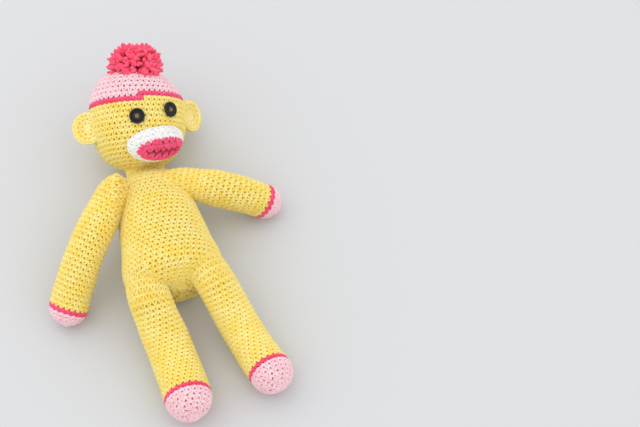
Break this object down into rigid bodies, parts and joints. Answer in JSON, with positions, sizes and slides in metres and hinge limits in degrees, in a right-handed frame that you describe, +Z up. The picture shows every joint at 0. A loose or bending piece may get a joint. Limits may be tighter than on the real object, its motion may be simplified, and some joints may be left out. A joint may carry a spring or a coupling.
{
  "type": "crocheted monkey doll",
  "caption": "Crocheted stuffed monkey doll with bobble hat, button eyes and padded muzzle, lying on its back; its head, arms and legs turn at the neck, shoulders and hips.",
  "frame": {"origin": "middle of the doll's outline seen from above, on the surface it lies on", "axes": "+Y from the feet to the head, +X towards the doll's left, +Z up out of its chest"},
  "size_m": [0.2348, 0.3724, 0.0927],
  "materials": {
    "yellow_yarn": "soft single crochet in worsted acrylic yarn",
    "hot_pink_yarn": "soft worsted acrylic yarn",
    "pale_pink_yarn": "soft single crochet in worsted acrylic yarn",
    "white_yarn": "soft single crochet in worsted acrylic yarn",
    "black_button": "polished",
    "tan_thread": "sewing thread",
    "fibrefill": "loose polyester fibre"
  },
  "bodies": {
    "torso": {"body_skin": "yellow_yarn", "body_stuffing": "fibrefill"},
    "neck": {"neck_wad": "fibrefill"},
    "head": {"head_skin": "yellow_yarn", "hat_band": "hot_pink_yarn", "hat_crown": "pale_pink_yarn", "head_stuffing": "fibrefill", "pompom": "hot_pink_yarn", "pompom_tie": "hot_pink_yarn", "right_ear": "yellow_yarn", "left_ear": "yellow_yarn", "right_eye_button": "black_button", "right_eye_thread": "tan_thread", "left_eye_button": "black_button", "left_eye_thread": "tan_thread", "muzzle": "white_yarn", "muzzle_stuffing": "fibrefill", "lips": "hot_pink_yarn"},
    "right_shoulder": {"right_arm_root_wad": "fibrefill"},
    "right_arm": {"right_arm_sleeve": "yellow_yarn", "right_arm_band": "hot_pink_yarn", "right_hand": "pale_pink_yarn", "right_arm_stuffing": "fibrefill"},
    "right_hip": {"right_leg_root_wad": "fibrefill"},
    "right_leg": {"right_leg_sleeve": "yellow_yarn", "right_leg_band": "hot_pink_yarn", "right_foot": "pale_pink_yarn", "right_leg_stuffing": "fibrefill"},
    "left_shoulder": {"left_arm_root_wad": "fibrefill"},
    "left_arm": {"left_arm_sleeve": "yellow_yarn", "left_arm_band": "hot_pink_yarn", "left_hand": "pale_pink_yarn", "left_arm_stuffing": "fibrefill"},
    "left_hip": {"left_leg_root_wad": "fibrefill"},
    "left_leg": {"left_leg_sleeve": "yellow_yarn", "left_leg_band": "hot_pink_yarn", "left_foot": "pale_pink_yarn", "left_leg_stuffing": "fibrefill"}
  },
  "joints": [
    {"name": "neck_turn", "type": "hinge", "parent": "torso", "child": "neck", "pos_m": [-0.00104, 0.04276, 0.037], "axis": [0.0697, 0.9921, 0.1045], "range_deg": [-35, 35]},
    {"name": "neck_nod", "type": "hinge", "parent": "neck", "child": "head", "pos_m": [-0.00104, 0.04276, 0.037], "axis": [1, 0, 0], "range_deg": [-12, 8]},
    {"name": "right_arm_swing", "type": "hinge", "parent": "torso", "child": "right_shoulder", "pos_m": [-0.04217, 0.03003, 0.0589], "axis": [0, 0, -1], "range_deg": [0, 90]},
    {"name": "right_arm_lift", "type": "hinge", "parent": "right_shoulder", "child": "right_arm", "pos_m": [-0.04217, 0.03003, 0.0589], "axis": [-0.7973, 0.6036, 0], "range_deg": [0, 75]},
    {"name": "right_leg_swing", "type": "hinge", "parent": "torso", "child": "right_hip", "pos_m": [-0.02754, -0.08672, 0.04164], "axis": [0, 0, -1], "range_deg": [-8, 30]},
    {"name": "right_leg_lift", "type": "hinge", "parent": "right_hip", "child": "right_leg", "pos_m": [-0.02754, -0.08672, 0.04164], "axis": [-0.9841, -0.1777, 0], "range_deg": [0, 90]},
    {"name": "left_arm_swing", "type": "hinge", "parent": "torso", "child": "left_shoulder", "pos_m": [0.04337, 0.0354, 0.04358], "axis": [0, 0, 1], "range_deg": [-20, 60]},
    {"name": "left_arm_lift", "type": "hinge", "parent": "left_shoulder", "child": "left_arm", "pos_m": [0.04337, 0.0354, 0.04358], "axis": [-0.4031, -0.9151, 0], "range_deg": [0, 75]},
    {"name": "left_leg_swing", "type": "hinge", "parent": "torso", "child": "left_hip", "pos_m": [0.0335, -0.083, 0.0416], "axis": [0, 0, 1], "range_deg": [-8, 30]},
    {"name": "left_leg_lift", "type": "hinge", "parent": "left_hip", "child": "left_leg", "pos_m": [0.0335, -0.083, 0.0416], "axis": [-0.9563, -0.2924, 0], "range_deg": [0, 90]}
  ]
}
